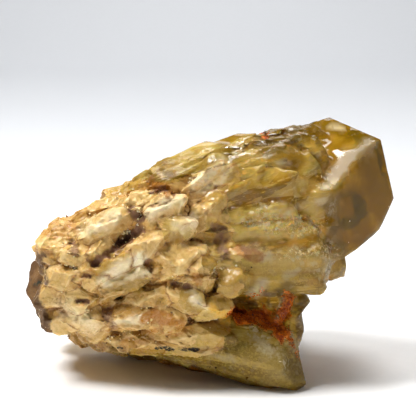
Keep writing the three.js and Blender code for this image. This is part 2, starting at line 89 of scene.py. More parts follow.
# Stained and bleached places on the front, with a few strokes of painted shade and one set of painted
# reflection, as strokes: across, up, end across, end up, radius, strength.
STAINS = {
    "rust": [
        (12, -43, 24, -46, 3.2, 1), (23, -45, 31, -51, 4.6, 1), (31, -46, 33.5, -37.5, 2.6, 1),
        (23, 29.9, 24.2, 29.1, 1.6, 1), (33, -55, 38.5, -62, 1.4, 0.4),
        (22.1, -33.6, 15.6, -37.7, 1.6, 0.4),
    ],
    # Purple-brown stains, and painted shade under a blade and along the underside.
    "umber_and_shade": [
        (1.6, -6.6, 7.4, -10.7, 3.3, 0.75), (5.7, -12.3, 7.4, -18.9, 3.3, 0.8),
        (-31.6, -1.2, -27.9, -4.1, 2.5, 0.95), (-55.8, -14.3, -54.1, -18, 2, 0.8),
        # The second stroke on the next line is a painted shadow under the long blade on the left.
        (-41.4, -42.6, -38.9, -48.4, 2.5, 0.8), (-46.7, -23, -27.9, -9, 2.6, 1),
        (-50.8, -27.9, -48.4, -28.3, 1.2, 1), (-53.3, -38.1, -49.2, -38.5, 1, 1),
        (-24.6, -22.1, -23, -26.2, 1.6, 0.7), (-15.6, -30.7, -7.4, -32.4, 1.2, 0.9),
        # The last stroke on the next line and the stroke after it are painted shade along the underside.
        (-23.4, 6.6, -18, 7.8, 1.6, 0.9), (-46, -56.5, -20, -61.5, 2.2, 0.45),
        (-20, -61.5, 5, -67, 2.6, 0.45),
    ],
    "matrix": [(-70.5, -22, -71.5, -38, 4.4, 1), (-70.5, -38, -67.5, -51, 3.8, 1)],
    "soot": [
        (-18.9, -37.7, -13.1, -43.5, 2.5, 0.62), (20, -44.5, 25, -47.5, 2.2, 0.72),
        (-14.8, -43, -13.1, -43.9, 1, 1), (-21.7, -57.4, -4.1, -58.2, 1, 0.95),
        (-19.7, -56.2, -13.1, -59.4, 1.2, 0.6), (-39.4, -57, -35.7, -57.4, 1, 0.9),
        (-18.4, 8.2, -20.5, 6.1, 1, 0.8),
    ],
    "ochre_and_shade": [
        (-23, -44.3, -13.1, -46.7, 4.3, 1), (-23.8, -50.8, -11.5, -49.2, 2.4, 0.9),
        (-36.1, -53.3, -23.8, -55.3, 1.6, 0.6), (9, -16.4, 20.5, -19.7, 2.4, 0.9),
        (-23.8, 9.8, -16.4, 6.6, 2.9, 0.9), (-65.6, -9, -55.8, -8.2, 3.7, 0.7),
        (-71.3, -17.2, -64.8, -18, 2, 0.7), (-5.7, -25.4, -3.3, -31.2, 2.5, 0.9),
        (-11.5, -13.1, -4.9, -18, 2, 0.5), (-60.7, -3.3, -44.3, 1.2, 3.3, 0.5),
        (-1.2, -1.6, 2.5, -3.3, 2, 0.6), (-47.6, -24.6, -50.8, -27.9, 2.5, 0.6),
        (9, -45.1, 15.2, -46.7, 2.5, 0.7), (25.4, 9.8, 36.1, 12.3, 1.6, 0.5),
        # The next stroke is painted shade along the underside.
        (-23.8, -62.3, -3.3, -67.2, 2.5, 0.35),
    ],
    "yellow": [
        (24.6, -16.4, 40.2, -13.1, 1.2, 1), (2.5, -41.8, 9.8, -46.7, 2.9, 0.9),
        (13.1, 23.8, 17.2, 26.2, 2.5, 0.8), (-3.3, 9, 6.6, 16.4, 3.3, 0.6),
        (-0.8, 1.2, 4.9, 4.9, 1.6, 0.4), (41.8, -30.3, 50.8, -28.7, 2.5, 0.6),
        (17.2, -9.8, 22.1, -12.3, 1.6, 0.5), (-23.8, 13.1, -3.3, 23.8, 4.1, 0.35),
    ],
    "pale": [
        (-42.6, -29.5, -28.7, -21.3, 3.7, 1), (-33.6, -27.9, -23.8, -26.2, 2, 0.8),
        (-3.3, 9.8, 5.7, 15.6, 4.6, 1), (-23, -1.6, -13.1, 3.3, 3.7, 0.7),
        (-13.1, -8.2, -6.6, -4.9, 2.9, 0.6), (-50, -9.8, -36.9, -3.3, 2.9, 0.5),
        (18.9, -36.1, 23, -30.3, 2.5, 0.9), (-6.6, -37.7, -0.8, -41, 1.6, 1),
        (-6.6, -33.6, -3.3, -37.7, 2, 0.6), (-37.7, -46.7, -25.4, -45.1, 1.6, 0.6),
        (-59, -41, -47.6, -48.4, 3.7, 0.45), (48.8, 8.6, 51.7, 9.8, 1.6, 1),
        (50.8, 33.2, 54.9, 32.4, 1.2, 0.9), (45.5, 2.5, 48.4, 3.7, 1.2, 0.9),
        (31.2, -3.7, 36.1, 0.8, 1.2, 0.9), (28.7, 18, 32, 18.9, 1.6, 0.8),
        (23, -20.5, 25.4, -18.9, 1.6, 0.7), (32, -27.9, 36.9, -25.4, 1.2, 0.7),
        (19.3, -52.9, 26.2, -58.2, 1.6, 0.6), (-2.5, -59, 9.8, -62.3, 1.6, 0.4),
        (16, 25.8, 11.5, 22.5, 1.6, 0.9), (33, -45, 35.7, -57.4, 2.4, 0.55),
    ],
    "intact": [
        (-53.3, -15.6, -30.3, -2.5, 3.7, 1), (-42.6, -29.5, -28.7, -21.3, 3.7, 1),
        (-33.6, -28.7, -23.8, -24.6, 2.5, 0.8), (-23, -1.6, -13.1, 3.3, 3.7, 0.9),
        (-13.1, -9, -6.6, -4.9, 2.9, 0.8), (-37.7, -46.7, -25.4, -45.1, 2, 0.8),
        (-9, -37.7, -1.6, -32.8, 3.3, 0.9), (-4.9, 9.8, 7.4, 16.4, 3.3, 0.9),
        (-0.8, -40.2, 9, -40.2, 3.3, 0.7), (-60.7, -9.8, -56.6, -13.1, 2.9, 0.5),
        (-44.3, -27.5, -56.6, -31.6, 2, 0.5), (19.3, -36.1, 22.1, -30.3, 2.5, 0.8),
    ],
    "fleck": [
        (37.7, 19.7, 56.2, -2.9, 6.6, 0.6), (17.2, -5.7, 44.3, -7.4, 4.9, 1),
        (22.1, 19.7, 37.7, 15.6, 5.7, 0.5), (31.6, -27.9, 50, -22.1, 5.7, 0.6),
        (50, 8.6, 54.1, 23.8, 1.6, 1), (56.2, -15.6, 75.4, 3.3, 1.6, 0.5),
        (72.6, 3.3, 69.7, -9.8, 1.2, 0.6), (56.2, 27.9, 69.7, 27.9, 1.2, 0.5),
        (13.1, -56.2, 33.6, -67.2, 4.9, 0.5), (17.2, -50, 27.5, -56.2, 2, 0.9),
        (-1.2, 3.3, 13.1, -2.9, 4.1, 0.6),
    ],
    "haze": [
        (14, -7, 40, -5, 8, 1.0), (18, 18, 40, 22, 8, 0.7), (18, -26, 50, -22, 7, 0.5),
        (16, -58, 28, -64, 7, 0.4), (-10, 22, 0, 26, 7, 0.8), (40, 10, 45, 8, 4, 0.6),
    ],
    "frost": [
        (16.4, -5.7, 44.3, -7.4, 4.5, 0.9), (22.1, 0.8, 37.7, -9.8, 2.9, 0.6),
        (29.5, -19.7, 52.5, -17.2, 3.7, 0.7), (37.7, -22.1, 50, -27.9, 3.3, 0.5),
        (46.7, -4.9, 52.5, 1.6, 1.6, 0.5), (17.2, -50, 31.2, -63.1, 3.7, 0.6),
        (22.1, 23.8, 37.7, 27.9, 4.1, 0.15),
    ],
    "smoke": [
        (67.2, 20.5, 72.6, -0.8, 9, 1), (59, 3.3, 64.8, -12.3, 8.2, 1), (54.1, -13.1, 52.5, 1.2, 7, 0.95),
        (52, 33.5, 69.7, 27.5, 5, 0.95), (31, 31, 48.4, 35.3, 8, 0.95), (25.4, 27.5, 34, 21.5, 7, 0.85),
        (54.1, -22.1, 50, -31.2, 4.1, 0.5), (33.6, -63.1, 37.7, -70.5, 4.1, 0.7),
        (-3.3, -67.2, 29.5, -73, 3.7, 0.5), (32, -34.4, 43.5, -45.1, 4.5, 0.8),
        (-1.2, 1.6, 11.5, 4.9, 2.5, 0.35), (37.7, 23.8, 45.1, 19.7, 3.3, 0.4),
    ],
    "lobe": [(8, -22, 52, -24, 11, 1), (-22, -54, 37, -68, 12, 1)],
    # A painted reflection of a lamp on one face of the big point.
    "painted_reflection": [
        (50.4, 11.5, 64, 24.6, 3.3, 1), (57.4, 19.7, 66.4, 26.2, 2.5, 1), (48.4, 9, 54.1, 15.6, 2.9, 1),
    ],
}
# Stains, two of whose masks also hold painted shade, in the order in which they are laid on: mask,
# colour, and where the mask starts and is full.
PAINTS = (
    ("yellow", (0.78, 0.44, 0.045), 0.1, 1.2),
    ("ochre_and_shade", (0.43, 0.170, 0.018), 0.15, 1.2),
    ("rust", (0.72, 0.190, 0.005), 0.25, 0.7),
    ("rust", (0.26, 0.028, 0.002), 0.75, 1.15),
    ("umber_and_shade", (0.25, 0.120, 0.062), 0.2, 1.1),
    ("matrix", (0.155, 0.082, 0.034), 0.1, 0.9),
    ("soot", (0.018, 0.014, 0.010), 0.7, 0.95),
)
# Cloudy patches among the cream crystals: across, up, radius.
GLASSY_PATCHES = [(-39, -25.5, 9), (-30, -29.5, 6), (21, -33, 4), (-6, -37, 6), (4, -40, 7), (-13, -9, 6)]

CLEAR, CLOUDY, CREAM = range(3)  # the order of the crystals' materials
SHARP_CRYSTAL = math.radians(24)
SHARP_ROCK = math.radians(38)
RIDGE_ANGLE = math.radians(22)

# Small crystals on the skin: mask, number per square metre, length, width, sides, seed, slimness.
DRUSE = ("sugar", 4e5, 1.1 * MM, 1.0 * MM, 6, 5)
FLECKS = ("fleck", 1.1e4, 0.25 * MM, 1.9 * MM, 5, 25, 0.35)
CRUST = ("rust", 1.6e6, 0.5 * MM, 0.8 * MM, 5, 15)
STEM_HEIGHT = 0.62
VEILS = 160
VEIL_RINGS, VEIL_SPOKES = 3, 12
VEIL_HALF_THICKNESS = 0.03 * MM

# The backdrop, and the lamps: name, place, the point that each faces, watts and width.
STAGE_HALF_WIDTH, STAGE_FRONT, STAGE_WALL, STAGE_CURVE, STAGE_TOP = 2.2, -1.6, 1.6, 0.4, 2.2
LAMPS = [
    ("key", (-0.5, -0.1, 0.92), (0, 0, 0.05), 12, 0.32),
    ("top", (0.1, 0.12, 1.1), (0, 0, 0.05), 7.5, 0.42),
    ("background", (0, 1.25, 1.1), (0, 1.3, 0), 5, 0.7),
    ("right", (0.9, -0.4, 0.5), (0, 0, 0.05), 1.1, 0.5),
]
SKY_STRENGTH = 0.08
SENSOR_WIDTH = 36  # millimetres


def seen(across, up, back):
    """The point that is seen at across and up, at a true distance back along +Y, in metres."""
    sin, cos = math.sin(EYE_ANGLE), math.cos(EYE_ANGLE)
    away = (back - up * sin) / (cos + up * MM * sin / EYE_DISTANCE)
    spread = 1 + away * MM / EYE_DISTANCE
    place = Vector((across * spread, back, up * cos * spread - away * sin)) * MM
    return place + EYE_AIM


def as_seen(points):
    """Across and up, in millimetres, of an array of points."""
    arm = points - np.array(EYE)
    scale = EYE_DISTANCE / (arm @ np.array(LOOK)) / MM
    return arm[:, 0] * scale, (arm @ np.array(EYE_UP)) * scale


def smooth(low, high, value):
    """0 at low and 1 at high, with an easy start and end between them."""
    share = np.clip((value - low) / (high - low), 0, 1)
    return share * share * (3 - 2 * share)


def cell_numbers(cell, seed):
    """A scrambled whole number for each cell of a grid."""
    return (cell[:, 0] * 73856093) ^ (cell[:, 1] * 19349663) ^ (cell[:, 2] * 83492791) ^ (seed * 2654435)


def ripple(points, size, seed):
    """Smooth noise from -1 to 1 at an array of points, with features of the given size in metres."""
    place = points / size + seed * 17.31
    cell = np.floor(place).astype(np.int64)
    part = place - cell
    part = part * part * (3 - 2 * part)
    total = np.zeros(len(points))
    for corner in np.ndindex(2, 2, 2):
        mix = cell_numbers(cell + np.array(corner), seed)
        mix = ((mix ^ (mix >> 13)) * 1274126177) & 0xFFFFFFFF
        value = ((mix ^ (mix >> 15)) & 0xFFFF) / 32767.5 - 1
        weight = np.prod(np.where(np.array(corner) == 1, part, 1 - part), axis=1)
        total += value * weight
    return total


def facets(points, size, seed, slope):
    """Heights of a surface broken into small flats: each cell of the given sizes is one tilted plane."""
    place = points / np.array(size) + seed * 7.77
    cell = np.floor(place).astype(np.int64)
    nearest = np.full(len(points), 1e9)
    height = np.zeros(len(points))
    for step in np.ndindex(3, 3, 3):
        near = cell + np.array(step) - 1
        mix = cell_numbers(near, seed)
        draws = []
        for _ in range(6):
            mix = ((mix ^ (mix >> 13)) * 1274126177 + 12345) & 0xFFFFFFFF
            draws.append(((mix ^ (mix >> 15)) & 0xFFFF) / 65535)
        arm = place - (near + np.stack(draws[:3], axis=1))
        away = np.sum(arm * arm, axis=1)
        tilt = (np.stack(draws[3:], axis=1) - 0.5) * 2 * slope
        level = np.sum(arm * np.array(size) * tilt, axis=1) + (draws[3] - 0.5) * size[1] * slope
        closer = away < nearest
        nearest = np.where(closer, away, nearest)
        height = np.where(closer, level, height)
    return height


def fan_place(points):
    """Where points lie in the fan, in metres: how far from the root, how far round it and how far up."""
    arm = points - np.array(seen(*FAN_ROOT, 0))
    reach = np.linalg.norm(arm, axis=1)
    round_it = np.arctan2(arm[:, 1], arm[:, 0]) * FAN_MIDDLE
    upwards = np.arcsin(arm[:, 2] / reach) * FAN_MIDDLE
    return np.stack([reach, round_it, upwards], axis=1)


def cream_share(points):
    """Millimetres past the border between clear and cream, from below 0 on the clear crystals."""
    across, up = as_seen(points)
    reach = np.hypot(across - FAN_ROOT[0], up - FAN_ROOT[1])
    turn = np.degrees(np.arctan2(up - FAN_ROOT[1], across - FAN_ROOT[0]))
    front = np.interp(turn, list(CLEAR_FROM), list(CLEAR_FROM.values()))
    behind = smooth(-8 * MM, 12 * MM, points[:, 1])
    border = front * (1 - behind) + CLEAR_FROM_BEHIND * behind
    border = border + 5 * ripple(points, 9 * MM, 3) + 2.5 * ripple(points, 3 * MM, 4)
    return border - reach


def finely_cut(node, longest):
    """A merged copy of a node's mesh, its edges cut down to a length that may vary with place."""
    bm = bmesh.new()
    bm.from_mesh(node.data)
    for layer in list(bm.loops.layers.uv):
        bm.loops.layers.uv.remove(layer)
    bmesh.ops.remove_doubles(bm, verts=bm.verts, dist=2e-6)
    number_flats(bm)
    for _ in range(9):
        bm.verts.ensure_lookup_table()
        places = np.array([v.co for v in bm.verts])
        limit = longest(places)
        bm.verts.index_update()
        ends = np.array([(e.verts[0].index, e.verts[1].index) for e in bm.edges])
        length = np.linalg.norm(places[ends[:, 0]] - places[ends[:, 1]], axis=1)
        too_long = length > np.minimum(limit[ends[:, 0]], limit[ends[:, 1]])
        if not too_long.any():
            break
        edges = [e for e, cut in zip(bm.edges, too_long) if cut]
        bmesh.ops.subdivide_edges(bm, edges=edges, cuts=1)
        bmesh.ops.triangulate(bm, faces=[f for f in bm.faces if len(f.verts) > 3])
    return bm


def number_flats(bm):
    """Gives the faces of each flat one number, so that a flat can have a tone of its own."""
    flat = bm.faces.layers.int.new("flat")
    number = 0
    for start in bm.faces:
        if start[flat]:
            continue
        number += 1
        start[flat] = number
        waiting = [start]
        while waiting:
            face = waiting.pop()
            for edge in face.edges:
                if len(edge.link_faces) == 2 and edge.calc_face_angle() < 0.01:
                    for other in edge.link_faces:
                        if not other[flat]:
                            other[flat] = number
                            waiting.append(other)


def mean_of_neighbours(values, ends, count):
    """For each vertex, the mean of the values at the far ends of its edges."""
    total = np.stack([
        np.bincount(ends[:, 0], values[ends[:, 1], k], len(values))
        + np.bincount(ends[:, 1], values[ends[:, 0], k], len(values)) for k in range(values.shape[1])
    ], axis=1)
    return total / count[:, None]


def openness(points, normals, tree, reach, rays=14):
    """How open the sky is over each point, from 0 in a deep hollow to 1 on a bare flat."""
    golden = math.pi * (3 - math.sqrt(5))
    ball = []
    for n in range(rays):
        z = (n + 0.5) / rays
        ring = math.sqrt(1 - z * z)
        ball.append(Vector((ring * math.cos(n * golden), ring * math.sin(n * golden), z)))
    result = np.zeros(len(points))
    for i, (point, normal) in enumerate(zip(points, normals)):
        normal = Vector(normal)
        start = Vector(point) + normal * 0.2 * MM
        turn = normal.to_track_quat("Z", "Y")
        free = sum(tree.ray_cast(start, turn @ ray, reach)[0] is None for ray in ball)
        result[i] = free / rays
    return result


def folds(bm, least):
    """Two masks over the vertices, read before weathering: 1 on sharp ridges, and 1 in sharp creases."""
    ridge, crease = np.zeros(len(bm.verts)), np.zeros(len(bm.verts))
    for edge in bm.edges:
        if len(edge.link_faces) == 2:
            turn = edge.calc_face_angle_signed()
            if abs(turn) > least:
                mask = ridge if turn > 0 else crease
                mask[edge.verts[0].index] = 1
                mask[edge.verts[1].index] = 1
    return ridge, crease


def new_object(name, data):
    """An object of the scene that holds a mesh, a lamp or a camera."""
    added = bpy.data.objects.new(name, data)
    bpy.context.scene.collection.objects.link(added)
    return added


def piece_from(bm, name):
    mesh = bpy.data.meshes.new(name)
    bm.to_mesh(mesh)
    bm.free()
    return new_object(name, mesh)


def column(rows, name):
    """A property of three numbers, such as a place, of all vertices or faces."""
    values = np.zeros(len(rows) * 3)
    rows.foreach_get(name, values)
    return values.reshape(-1, 3)


def vertices_of(mesh):
    return column(mesh.vertices, "co")


def normals_of(mesh):
    return column(mesh.vertices, "normal")


def edges_of(mesh):
    """The two ends of each edge, and how many edges meet at each vertex."""
    ends = np.zeros(len(mesh.edges) * 2, dtype=np.int64)
    mesh.edges.foreach_get("vertices", ends)
    ends = ends.reshape(-1, 2)
    return ends, np.bincount(ends.ravel(), minlength=len(mesh.vertices)).astype(float)


def set_vertices(mesh, places):
    """Moves a mesh's vertices, and keeps them inside the box of the CAD part."""
    low, high = np.array(cad_box[0]), np.array(cad_box[1])
    mesh.vertices.foreach_set("co", np.clip(places, low, high).ravel())
    mesh.update()


def give(mesh, name, values, domain="POINT"):
    """Stores one number for each vertex or face under a name that the materials read."""
    attribute = mesh.attributes.new(name, "FLOAT", domain)
    attribute.data.foreach_set("value", np.asarray(values, dtype=np.float32))


def stain_masks(points, normals):
    """The masks of the stained and bleached places, and of the painted shade and painted reflection, on
    the side that faces the eye.
    """
    across, up = as_seen(points)
    arm = np.array(EYE) - points
    arm /= np.linalg.norm(arm, axis=1)[:, None]
    facing = smooth(-0.3, 0.25, np.sum(arm * normals, axis=1)) * smooth(16 * MM, 4 * MM, points[:, 1])
    wobble = 2.2 * ripple(points, 3.5 * MM, 11) + 1.2 * ripple(points, 1.4 * MM, 12)
    masks = {}
    for name, places in STAINS.items():
        mask = np.zeros(len(points))
        for x, y, end_x, end_y, radius, strength in places:
            run = np.array([end_x - x, end_y - y])
            share = np.clip(((across - x) * run[0] + (up - y) * run[1]) / max(run @ run, 1e-6), 0, 1)
            away = np.hypot(across - x - share * run[0], up - y - share * run[1])
            away += wobble * min(1, radius / 3)
            inner, outer = (0.1, 1.4) if name in ("yellow", "pale") else (0.4, 1.2)
            mask = np.maximum(mask, strength * smooth(radius * outer, radius * inner, away))
        masks[name] = mask * facing
    return masks


def sheath_share(points):
    """1 on the broken sheath of the big point and on the front lobes, 0 on its smooth tip and behind."""
    across, up = as_seen(points)
    tip = smooth(46, 53, across + 0.12 * (up - 5) + 2 * ripple(points, 4 * MM, 8))
    return (1 - tip) * smooth(10 * MM, -6 * MM, points[:, 1])


def filled_valleys(mesh, places, ends, count, share, most):
    """Places of a skin whose narrow valleys are filled, as by grown-in quartz, while its ridges stay."""
    set_vertices(mesh, places)
    normals = normals_of(mesh)
    even = places.copy()
    for _ in range(VALLEY_PASSES):
        even += 0.6 * (mean_of_neighbours(even, ends, count) - even)
    rise = np.sum((even - places) * normals, axis=1)
    rise = np.where(rise > 0, np.minimum(rise, most), 0.15 * rise)
    return places + normals * (rise * share)[:, None]


def weathered_crystals():
    """The crystals' skin: flats with chipped edges where clear, worn and broken where cream."""
    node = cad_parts["citrine_crystals"]

    def longest(places):
        front = smooth(30 * MM, 6 * MM, places[:, 1])
        cream = smooth(-10, 4, cream_share(places)) * front
        edge = CLEAR_EDGE + (SHEATH_EDGE - CLEAR_EDGE) * sheath_share(places)
        return edge + (CREAM_EDGE - edge) * cream

    bm = finely_cut(node, longest)
    ridge, crease = folds(bm, RIDGE_ANGLE)
    piece = piece_from(bm, "crystals")
    mesh = piece.data
    ends, count = edges_of(mesh)
    places = vertices_of(mesh)
    past = cream_share(places)
    cream = smooth(-4, 6, past)
    sheath = sheath_share(places) * (1 - cream)

    strokes = stain_masks(places, normals_of(mesh))
    border = smooth(-16, -4, past) * smooth(22, 8, past) * smooth(10 * MM, -4 * MM, places[:, 1])
    most = VALLEY_FILL + (BORDER_FILL - VALLEY_FILL) * border
    share = np.maximum(cream, sheath) * (1 - strokes["umber_and_shade"])
    worn = filled_valleys(mesh, places, ends, count, share, most)
    for turn in range(8):
        soft = (0.5 + 0.2 * strokes["lobe"]) * sheath
        if turn < 2:
            soft = np.maximum(0.3 * cream, 0.5 * sheath)
        worn += soft[:, None] * (mean_of_neighbours(worn, ends, count) - worn)
    set_vertices(mesh, worn)
    normals = normals_of(mesh)
    rough = cream * (1 - 0.75 * strokes["intact"])
    fan = fan_place(worn)
    lumps = 0.22 * MM * ripple(worn, 5 * MM, 1) + 0.12 * MM * ripple(worn, 2.4 * MM, 2)
    blocks = facets(worn, (7 * MM, 5 * MM, 5 * MM), 31, 0.15)
    blocks += facets(fan, (6 * MM, 2.2 * MM, 2.2 * MM), 32, 0.14)
    flakes = facets(fan, (14 * MM, 6 * MM, 6 * MM), 33, 0.14)
    flakes += facets(fan, (5 * MM, 3 * MM, 3 * MM), 34, 0.08)
    chips = smooth(0.1, 0.6, ripple(worn, 3.2 * MM, 6)) * 0.5 * MM + 0.06 * MM
    lift = rough * (lumps + blocks - 0.2 * MM)
    lift += sheath * (1 - 0.7 * strokes["lobe"]) * (flakes - 0.1 * MM)
    lift -= strokes["umber_and_shade"] * HOLLOW_DEPTH + strokes["soot"] * 0.15 * MM
    lift -= (1 - cream) * (1 - 0.5 * sheath) * ridge * chips
    worn += normals * lift[:, None]
    flat_floor = places[:, 2] < 0.05 * MM
    worn[flat_floor] = places[flat_floor]
    set_vertices(mesh, worn)
    for name, mask, passes in (("ridge", ridge, 1), ("seam", crease, 2)):
        spread = mask[:, None]
        for _ in range(passes):
            spread = 0.45 * spread + 0.55 * mean_of_neighbours(spread, ends, count)
        give(mesh, name, smooth(0.05, 0.55, spread[:, 0]))
    mesh.shade_smooth()
    mesh.set_sharp_from_angle(angle=SHARP_CRYSTAL)
    return piece


def paint_crystals(piece):
    """Stores what the materials read, and gives each face its quartz: clear, cloudy or cream."""
    mesh = piece.data
    places, normals = vertices_of(mesh), normals_of(mesh)
    tree = BVHTree.FromPolygons(places.tolist(), [tuple(p.vertices) for p in mesh.polygons])
    masks = stain_masks(places, normals)
    hollow = 1 - openness(places, normals, tree, 14 * MM)
    give(mesh, "hollow", hollow)
    give(mesh, "sheath", sheath_share(places))
    for name, mask in masks.items():
        give(mesh, name, mask)
    fan = mesh.attributes.new("fan", "FLOAT_VECTOR", "POINT")
    fan.data.foreach_set("vector", (fan_place(places) * (0.13, 1, 1)).astype(np.float32).ravel())
    flats = np.zeros(len(mesh.polygons), dtype=np.int32)
    mesh.attributes["flat"].data.foreach_get("value", flats)
    give(mesh, "tone", ((flats * 2654435761) % 9973) / 9973, "FACE")
    mesh.attributes.remove(mesh.attributes["flat"])

    middles = column(mesh.polygons, "center")
    past = cream_share(middles)
    across, up = as_seen(middles)
    glassy = np.zeros(len(middles), dtype=bool)
    for x, y, radius in GLASSY_PATCHES:
        glassy |= (np.hypot(across - x, up - y) < radius) & (middles[:, 1] < -14 * MM)
    corners = np.array([p.vertices[:] for p in mesh.polygons])
    rusty = masks["rust"][corners].mean(axis=1) > 0.75
    index = np.where(past < 0, CLEAR, np.where((past < CLOUDY_BAND) | glassy, CLOUDY, CREAM))
    index = np.where(rusty, CREAM, index)
    mesh.polygons.foreach_set("material_index", index.astype(np.int32))
    sugar = smooth(0.0, 8, cream_share(places)) * smooth(0.15, 0.6, ripple(places, 8 * MM, 9))
    sugar *= smooth(0.3, 0.55, hollow) * smooth(24 * MM, 8 * MM, places[:, 1]) * (1 - masks["umber_and_shade"])
    give(mesh, "sugar", sugar)
    return tree


class Wiring:
    """A node tree under construction: adds nodes and joins them."""

    def __init__(self, tree):
        self.nodes = tree.nodes
        self.links = tree.links

    def add(self, kind, label="", **settings):
        node = self.nodes.new(kind)
        node.label = label
        for name, value in settings.items():
            setattr(node, name, value)
        return node

    def feed(self, socket, source):
        """Joins a socket to another one, or sets its value."""
        if isinstance(source, bpy.types.NodeSocket):
            self.links.new(source, socket)
        else:
            socket.default_value = source

    def wire(self, node, **inputs):
        """Feeds a node's inputs by name, with _ for each space."""
        for name, source in inputs.items():
            self.feed(node.inputs[name.replace("_", " ")], source)
        return node

    def noise(self, scale, detail=4, roughness=0.55, distortion=0.0, place=None):
        place = self.object_place() if place is None else place
        node = self.add("ShaderNodeTexNoise")
        self.wire(node, Scale=scale, Detail=detail, Roughness=roughness, Distortion=distortion)
        self.wire(node, Vector=place)
        return node.outputs["Fac"]

    def object_place(self):
        return self.add("ShaderNodeTexCoord").outputs["Object"]

    def attribute(self, name, output="Fac"):
        return self.add("ShaderNodeAttribute", name, attribute_name=name).outputs[output]

    def math(self, operation, a, b, clamp=False):
        node = self.add("ShaderNodeMath", operation=operation, use_clamp=clamp)
        self.feed(node.inputs[0], a)
        self.feed(node.inputs[1], b)
        return node.outputs[0]

    def times(self, a, b, clamp=False):
        return self.math("MULTIPLY", a, b, clamp)

    def plus(self, a, b, clamp=False):
        return self.math("ADD", a, b, clamp)

    def larger(self, a, b):
        return self.math("MAXIMUM", a, b)

    def vector(self, operation, a, b):
        node = self.add("ShaderNodeVectorMath", operation=operation)
        self.feed(node.inputs[0], a)
        self.feed(node.inputs[1], b)
        return node.outputs

    def spread(self, value, low, high, out_low=0.0, out_high=1.0):
        """A value that runs smoothly from out_low, at low, to out_high, at high."""
        node = self.add("ShaderNodeMapRange", interpolation_type="SMOOTHSTEP")
        self.wire(node, Value=value, From_Min=low, From_Max=high, To_Min=out_low, To_Max=out_high)
        return node.outputs["Result"]

    def blend(self, share, a, b):
        node = self.wire(self.add("ShaderNodeMix", data_type="RGBA"), Factor=share)
        self.feed(node.inputs[6], colour(a))
        self.feed(node.inputs[7], colour(b))
        return node.outputs[2]

    def layered(self, base, *layers):
        """A colour with others laid over it in turn, each by its own share."""
        for share, tint in layers:
            base = self.blend(share, base, tint)
        return base


def colour(value):
    return (*value, 1.0) if isinstance(value, tuple) else value


def grains_over(skin, name, material, mask, per_square_metre, length, width, sides, seed, slim=1.0):
    """Small crystals that stand on a skin wherever its mask is high, as one plain mesh."""
    values = {"Density": per_square_metre, "Length": length, "Width": width, "Breadth": width * slim}
    tree = bpy.data.node_groups.new(name + " grower", "GeometryNodeTree")
    tree.interface.new_socket("Skin", in_out="INPUT", socket_type="NodeSocketGeometry")
    for label in values:
        tree.interface.new_socket(label, in_out="INPUT", socket_type="NodeSocketFloat")
    tree.interface.new_socket("Grains", in_out="OUTPUT", socket_type="NodeSocketGeometry")
    w = Wiring(tree)
    taken, given = w.add("NodeGroupInput").outputs, w.add("NodeGroupOutput")

    where = w.wire(w.add("GeometryNodeInputNamedAttribute", data_type="FLOAT"), Name=mask)
    density = w.times(where.outputs["Attribute"], taken["Density"])
    scatter = w.add("GeometryNodeDistributePointsOnFaces")
    w.wire(scatter, Mesh=taken["Skin"], Density=density, Seed=seed)

    stem = w.add("GeometryNodeMeshCone", "stem", fill_type="NONE")
    w.wire(stem, Vertices=sides, Radius_Bottom=0.42, Radius_Top=0.5, Depth=STEM_HEIGHT)
    tip = w.add("GeometryNodeMeshCone", "tip", fill_type="NONE")
    w.wire(tip, Vertices=sides, Radius_Bottom=0.5, Radius_Top=0.0, Depth=0.4)
    lifted = w.add("GeometryNodeTransform")
    w.wire(lifted, Translation=(0, 0, STEM_HEIGHT), Geometry=tip.outputs["Mesh"])
    grain = w.wire(w.add("GeometryNodeJoinGeometry"), Geometry=stem.outputs["Mesh"])
    w.wire(grain, Geometry=lifted.outputs["Geometry"])
    welded = w.add("GeometryNodeMergeByDistance")
    w.wire(welded, Geometry=grain.outputs["Geometry"], Distance=0.01)

    lean = w.add("FunctionNodeRandomValue", "lean", data_type="FLOAT_VECTOR")
    w.wire(lean, Min=(-0.6, -0.6, 0), Max=(0.6, 0.6, 6.28), Seed=seed + 1)
    turned = w.add("FunctionNodeRotateEuler", rotation_type="EULER", space="LOCAL")
    w.wire(turned, Rotation=scatter.outputs["Rotation"], Rotate_By=lean.outputs["Value"])
    spread = w.wire(w.add("FunctionNodeRandomValue", "size", data_type="FLOAT"), Seed=seed + 2)
    spread.inputs[2].default_value = 0.3
    spread.inputs[3].default_value = 1.0
    size = w.wire(w.add("ShaderNodeCombineXYZ"), X=taken["Width"], Y=taken["Breadth"], Z=taken["Length"])
    sized = w.wire(w.add("ShaderNodeVectorMath", operation="SCALE"), Scale=spread.outputs[1])
    w.feed(sized.inputs[0], size.outputs[0])
    placed = w.add("GeometryNodeInstanceOnPoints")
    w.wire(placed, Points=scatter.outputs["Points"], Instance=welded.outputs["Geometry"],
           Rotation=turned.outputs["Rotation"], Scale=sized.outputs[0])
    plain = w.wire(w.add("GeometryNodeRealizeInstances"), Geometry=placed.outputs["Instances"])
    dressed = w.add("GeometryNodeSetMaterial")
    w.wire(dressed, Material=material, Geometry=plain.outputs["Geometry"])
    w.wire(given, Grains=dressed.outputs["Geometry"])

    grower = skin.modifiers.new(name, "NODES")
    grower.node_group = tree
    for item in tree.interface.items_tree:
        if item.in_out == "INPUT" and item.name in values:
            grower[item.identifier] = values[item.name]
    evaluated = skin.evaluated_get(bpy.context.evaluated_depsgraph_get())
    mesh = bpy.data.meshes.new_from_object(evaluated)
    skin.modifiers.remove(grower)
    mesh.name = name
    piece = new_object(name, mesh)
    set_vertices(mesh, vertices_of(mesh))
    mesh.shade_flat()
    return piece


